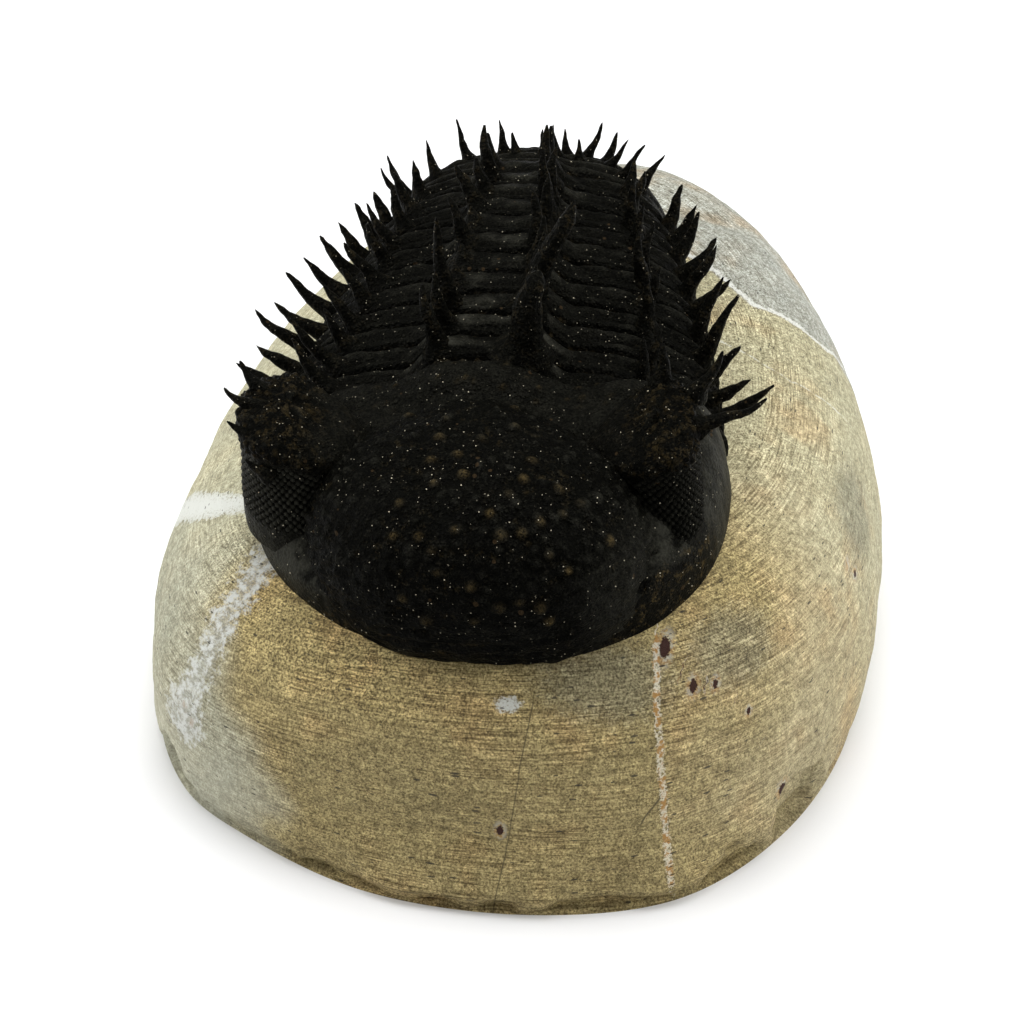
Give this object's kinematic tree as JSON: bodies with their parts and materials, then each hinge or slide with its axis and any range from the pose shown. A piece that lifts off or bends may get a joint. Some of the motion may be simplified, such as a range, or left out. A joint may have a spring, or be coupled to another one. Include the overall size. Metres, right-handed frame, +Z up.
{
  "type": "drotops trilobite fossil on a limestone matrix block",
  "caption": "Spiny trilobite fossil, prone and fully spread, prepared free of a ground block of its own limestone with a flat base.",
  "frame": {"origin": "middle of the block's flat base, under the centre of the whole object's bounding box", "axes": "+Z up from the flat base; the animal lies along Y with its head towards -Y and its tail towards +Y; +X is on the animal's left, which is the right-hand side seen from in front of the head"},
  "size_m": [0.1091, 0.1583, 0.0764],
  "materials": {
    "matrix": "ground beige limestone with white calcite veins, fine grinding marks and dark cracks",
    "exoskeleton": "near-black mineral replacement of the shell, satin, with golden-brown dirt on the raised grains"
  },
  "bodies": {
    "root": {"matrix_block": "matrix", "cephalon": "exoskeleton", "thorax_segment_01": "exoskeleton", "thorax_segment_02": "exoskeleton", "thorax_segment_03": "exoskeleton", "thorax_segment_04": "exoskeleton", "thorax_segment_05": "exoskeleton", "thorax_segment_06": "exoskeleton", "thorax_segment_07": "exoskeleton", "thorax_segment_08": "exoskeleton", "thorax_segment_09": "exoskeleton", "thorax_segment_10": "exoskeleton", "thorax_segment_11": "exoskeleton", "pygidium": "exoskeleton"}
  },
  "joints": []
}
